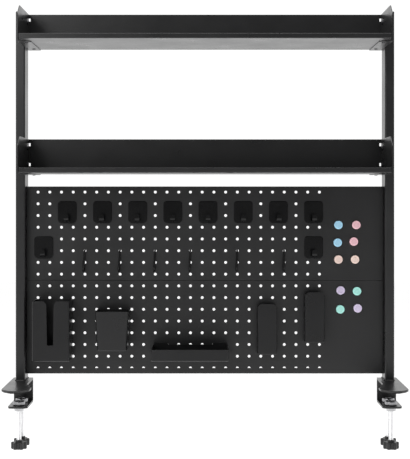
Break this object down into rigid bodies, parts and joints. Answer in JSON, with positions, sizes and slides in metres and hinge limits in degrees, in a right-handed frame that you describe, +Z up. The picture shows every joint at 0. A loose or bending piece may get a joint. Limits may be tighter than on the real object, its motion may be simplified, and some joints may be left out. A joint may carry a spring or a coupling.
{
  "type": "clamp-on desk pegboard",
  "caption": "Black steel pegboard that clamps to the rear edge of a desk, with shelves above, hooks, hung holders and coloured magnets.",
  "frame": {"origin": "on the plane of the desk top, midway between the two clamps, at the rear edge of the desk", "axes": "+X to the right seen from the front, -Y to the front over the desk, +Z up"},
  "size_m": [0.822, 0.2, 0.92],
  "materials": {
    "black_powder_coat": "semi-gloss powder coat",
    "black_gloss_coat": "gloss dip coat",
    "black_steel": "black oxide",
    "chrome_steel": "bright plated",
    "zinc_steel": "zinc plated",
    "black_plastic": "moulded",
    "black_rubber": "matte",
    "blue_plastic": "moulded",
    "pink_plastic": "moulded",
    "peach_plastic": "moulded",
    "lilac_plastic": "moulded",
    "mint_plastic": "moulded"
  },
  "bodies": {
    "frame": {"left_post": "black_powder_coat", "right_post": "black_powder_coat", "post_caps": "black_plastic", "left_clamp_bracket": "black_powder_coat", "right_clamp_bracket": "black_powder_coat", "desk_pads": "black_rubber", "threaded_inserts": "zinc_steel", "upper_shelf_tray": "black_powder_coat", "lower_shelf_tray": "black_powder_coat", "upper_shelf_left_bracket": "black_powder_coat", "upper_shelf_right_bracket": "black_powder_coat", "lower_shelf_left_bracket": "black_powder_coat", "lower_shelf_right_bracket": "black_powder_coat", "frame_bolts": "black_steel", "tray_rivets": "black_steel", "upper_pegboard_panel": "black_powder_coat", "lower_pegboard_panel": "black_powder_coat"},
    "left_rear_pad": {"left_rear_clamp_pad": "zinc_steel"},
    "left_rear_screw": {"left_rear_clamp_screw": "chrome_steel", "left_rear_clamp_knob": "black_plastic"},
    "left_front_pad": {"left_front_clamp_pad": "zinc_steel"},
    "left_front_screw": {"left_front_clamp_screw": "chrome_steel", "left_front_clamp_knob": "black_plastic"},
    "right_rear_pad": {"right_rear_clamp_pad": "zinc_steel"},
    "right_rear_screw": {"right_rear_clamp_screw": "chrome_steel", "right_rear_clamp_knob": "black_plastic"},
    "right_front_pad": {"right_front_clamp_pad": "zinc_steel"},
    "right_front_screw": {"right_front_clamp_screw": "chrome_steel", "right_front_clamp_knob": "black_plastic"},
    "plate_hook_1": {"plate_hook_1": "black_gloss_coat"},
    "plate_hook_2": {"plate_hook_2": "black_gloss_coat"},
    "plate_hook_3": {"plate_hook_3": "black_gloss_coat"},
    "plate_hook_4": {"plate_hook_4": "black_gloss_coat"},
    "plate_hook_5": {"plate_hook_5": "black_gloss_coat"},
    "plate_hook_6": {"plate_hook_6": "black_gloss_coat"},
    "plate_hook_7": {"plate_hook_7": "black_gloss_coat"},
    "plate_hook_8": {"plate_hook_8": "black_gloss_coat"},
    "plate_hook_9": {"plate_hook_9": "black_gloss_coat"},
    "plate_hook_10": {"plate_hook_10": "black_gloss_coat"},
    "wire_hook_1": {"wire_hook_1": "black_gloss_coat"},
    "wire_hook_2": {"wire_hook_2": "black_gloss_coat"},
    "wire_hook_3": {"wire_hook_3": "black_gloss_coat"},
    "wire_hook_4": {"wire_hook_4": "black_gloss_coat"},
    "wire_hook_5": {"wire_hook_5": "black_gloss_coat"},
    "wire_hook_6": {"wire_hook_6": "black_gloss_coat"},
    "slotted_holder": {"slotted_holder": "black_powder_coat"},
    "pen_cup": {"pen_cup": "black_powder_coat"},
    "long_tray": {"long_tray": "black_powder_coat"},
    "left_pocket": {"left_pocket": "black_powder_coat"},
    "right_pocket": {"right_pocket": "black_powder_coat"},
    "blue_magnet_1": {"blue_magnet_1": "blue_plastic"},
    "blue_magnet_2": {"blue_magnet_2": "blue_plastic"},
    "pink_magnet_1": {"pink_magnet_1": "pink_plastic"},
    "pink_magnet_2": {"pink_magnet_2": "pink_plastic"},
    "peach_magnet_1": {"peach_magnet_1": "peach_plastic"},
    "peach_magnet_2": {"peach_magnet_2": "peach_plastic"},
    "lilac_magnet_1": {"lilac_magnet_1": "lilac_plastic"},
    "lilac_magnet_2": {"lilac_magnet_2": "lilac_plastic"},
    "mint_magnet_1": {"mint_magnet_1": "mint_plastic"},
    "mint_magnet_2": {"mint_magnet_2": "mint_plastic"}
  },
  "joints": [
    {"name": "left_rear_pad_slide", "type": "slide", "parent": "frame", "child": "left_rear_pad", "axis": [0, 0, 1], "range_m": [0, 0.03]},
    {"name": "left_rear_screw_turn", "type": "hinge", "parent": "left_rear_pad", "child": "left_rear_screw", "pos_m": [-0.39, -0.025, -0.042], "axis": [0, 0, 1], "range_deg": [0, 7200]},
    {"name": "left_front_pad_slide", "type": "slide", "parent": "frame", "child": "left_front_pad", "axis": [0, 0, 1], "range_m": [0, 0.03]},
    {"name": "left_front_screw_turn", "type": "hinge", "parent": "left_front_pad", "child": "left_front_screw", "pos_m": [-0.39, -0.065, -0.042], "axis": [0, 0, 1], "range_deg": [0, 7200]},
    {"name": "right_rear_pad_slide", "type": "slide", "parent": "frame", "child": "right_rear_pad", "axis": [0, 0, 1], "range_m": [0, 0.03]},
    {"name": "right_rear_screw_turn", "type": "hinge", "parent": "right_rear_pad", "child": "right_rear_screw", "pos_m": [0.39, -0.025, -0.042], "axis": [0, 0, 1], "range_deg": [0, 7200]},
    {"name": "right_front_pad_slide", "type": "slide", "parent": "frame", "child": "right_front_pad", "axis": [0, 0, 1], "range_m": [0, 0.03]},
    {"name": "right_front_screw_turn", "type": "hinge", "parent": "right_front_pad", "child": "right_front_screw", "pos_m": [0.39, -0.065, -0.042], "axis": [0, 0, 1], "range_deg": [0, 7200]},
    {"name": "plate_hook_1_tilt", "type": "hinge", "parent": "frame", "child": "plate_hook_1", "pos_m": [-0.2935, -0.02125, 0.38405], "axis": [-1, 0, 0], "range_deg": [0, 15]},
    {"name": "plate_hook_2_tilt", "type": "hinge", "parent": "frame", "child": "plate_hook_2", "pos_m": [-0.2185, -0.02125, 0.38405], "axis": [-1, 0, 0], "range_deg": [0, 15]},
    {"name": "plate_hook_3_tilt", "type": "hinge", "parent": "frame", "child": "plate_hook_3", "pos_m": [-0.1435, -0.02125, 0.38405], "axis": [-1, 0, 0], "range_deg": [0, 15]},
    {"name": "plate_hook_4_tilt", "type": "hinge", "parent": "frame", "child": "plate_hook_4", "pos_m": [-0.0685, -0.02125, 0.38405], "axis": [-1, 0, 0], "range_deg": [0, 15]},
    {"name": "plate_hook_5_tilt", "type": "hinge", "parent": "frame", "child": "plate_hook_5", "pos_m": [0.0065, -0.02125, 0.38405], "axis": [-1, 0, 0], "range_deg": [0, 15]},
    {"name": "plate_hook_6_tilt", "type": "hinge", "parent": "frame", "child": "plate_hook_6", "pos_m": [0.0815, -0.02125, 0.38405], "axis": [-1, 0, 0], "range_deg": [0, 15]},
    {"name": "plate_hook_7_tilt", "type": "hinge", "parent": "frame", "child": "plate_hook_7", "pos_m": [0.1565, -0.02125, 0.38405], "axis": [-1, 0, 0], "range_deg": [0, 15]},
    {"name": "plate_hook_8_tilt", "type": "hinge", "parent": "frame", "child": "plate_hook_8", "pos_m": [0.2315, -0.02125, 0.38405], "axis": [-1, 0, 0], "range_deg": [0, 15]},
    {"name": "plate_hook_9_tilt", "type": "hinge", "parent": "frame", "child": "plate_hook_9", "pos_m": [-0.3435, -0.02125, 0.30905], "axis": [-1, 0, 0], "range_deg": [0, 15]},
    {"name": "plate_hook_10_tilt", "type": "hinge", "parent": "frame", "child": "plate_hook_10", "pos_m": [0.2315, -0.02125, 0.30905], "axis": [-1, 0, 0], "range_deg": [0, 15]},
    {"name": "wire_hook_1_tilt", "type": "hinge", "parent": "frame", "child": "wire_hook_1", "pos_m": [-0.2564, -0.0194, 0.2799], "axis": [-1, 0, 0], "range_deg": [0, 20]},
    {"name": "wire_hook_2_tilt", "type": "hinge", "parent": "frame", "child": "wire_hook_2", "pos_m": [-0.1814, -0.0194, 0.2799], "axis": [-1, 0, 0], "range_deg": [0, 20]},
    {"name": "wire_hook_3_tilt", "type": "hinge", "parent": "frame", "child": "wire_hook_3", "pos_m": [-0.1064, -0.0194, 0.2799], "axis": [-1, 0, 0], "range_deg": [0, 20]},
    {"name": "wire_hook_4_tilt", "type": "hinge", "parent": "frame", "child": "wire_hook_4", "pos_m": [-0.0314, -0.0194, 0.2799], "axis": [-1, 0, 0], "range_deg": [0, 20]},
    {"name": "wire_hook_5_tilt", "type": "hinge", "parent": "frame", "child": "wire_hook_5", "pos_m": [0.0686, -0.0194, 0.2799], "axis": [-1, 0, 0], "range_deg": [0, 20]},
    {"name": "wire_hook_6_tilt", "type": "hinge", "parent": "frame", "child": "wire_hook_6", "pos_m": [0.1686, -0.0194, 0.2799], "axis": [-1, 0, 0], "range_deg": [0, 20]},
    {"name": "slotted_holder_tilt", "type": "hinge", "parent": "frame", "child": "slotted_holder", "pos_m": [-0.32095, -0.021, 0.1763], "axis": [-1, 0, 0], "range_deg": [0, 8]},
    {"name": "pen_cup_tilt", "type": "hinge", "parent": "frame", "child": "pen_cup", "pos_m": [-0.1939, -0.021, 0.1548], "axis": [-1, 0, 0], "range_deg": [0, 7]},
    {"name": "long_tray_tilt", "type": "hinge", "parent": "frame", "child": "long_tray", "pos_m": [-0.0312, -0.021, 0.0838], "axis": [-1, 0, 0], "range_deg": [0, 12]},
    {"name": "left_pocket_tilt", "type": "hinge", "parent": "frame", "child": "left_pocket", "pos_m": [0.1315, -0.021, 0.1678], "axis": [-1, 0, 0], "range_deg": [0, 10]},
    {"name": "right_pocket_tilt", "type": "hinge", "parent": "frame", "child": "right_pocket", "pos_m": [0.2315, -0.021, 0.1928], "axis": [-1, 0, 0], "range_deg": [0, 10]},
    {"name": "blue_magnet_1_pull", "type": "slide", "parent": "frame", "child": "blue_magnet_1", "axis": [0, -1, 0], "range_m": [0, 0.02]},
    {"name": "blue_magnet_2_pull", "type": "slide", "parent": "frame", "child": "blue_magnet_2", "axis": [0, -1, 0], "range_m": [0, 0.02]},
    {"name": "pink_magnet_1_pull", "type": "slide", "parent": "frame", "child": "pink_magnet_1", "axis": [0, -1, 0], "range_m": [0, 0.02]},
    {"name": "pink_magnet_2_pull", "type": "slide", "parent": "frame", "child": "pink_magnet_2", "axis": [0, -1, 0], "range_m": [0, 0.02]},
    {"name": "peach_magnet_1_pull", "type": "slide", "parent": "frame", "child": "peach_magnet_1", "axis": [0, -1, 0], "range_m": [0, 0.02]},
    {"name": "peach_magnet_2_pull", "type": "slide", "parent": "frame", "child": "peach_magnet_2", "axis": [0, -1, 0], "range_m": [0, 0.02]},
    {"name": "lilac_magnet_1_pull", "type": "slide", "parent": "frame", "child": "lilac_magnet_1", "axis": [0, -1, 0], "range_m": [0, 0.02]},
    {"name": "lilac_magnet_2_pull", "type": "slide", "parent": "frame", "child": "lilac_magnet_2", "axis": [0, -1, 0], "range_m": [0, 0.02]},
    {"name": "mint_magnet_1_pull", "type": "slide", "parent": "frame", "child": "mint_magnet_1", "axis": [0, -1, 0], "range_m": [0, 0.02]},
    {"name": "mint_magnet_2_pull", "type": "slide", "parent": "frame", "child": "mint_magnet_2", "axis": [0, -1, 0], "range_m": [0, 0.02]}
  ],
  "couplings": [
    {"joint": "left_rear_screw_turn", "follows": "left_rear_pad_slide", "rad_per_m": 4188.8},
    {"joint": "left_front_screw_turn", "follows": "left_front_pad_slide", "rad_per_m": 4188.8},
    {"joint": "right_rear_screw_turn", "follows": "right_rear_pad_slide", "rad_per_m": 4188.8},
    {"joint": "right_front_screw_turn", "follows": "right_front_pad_slide", "rad_per_m": 4188.8}
  ]
}
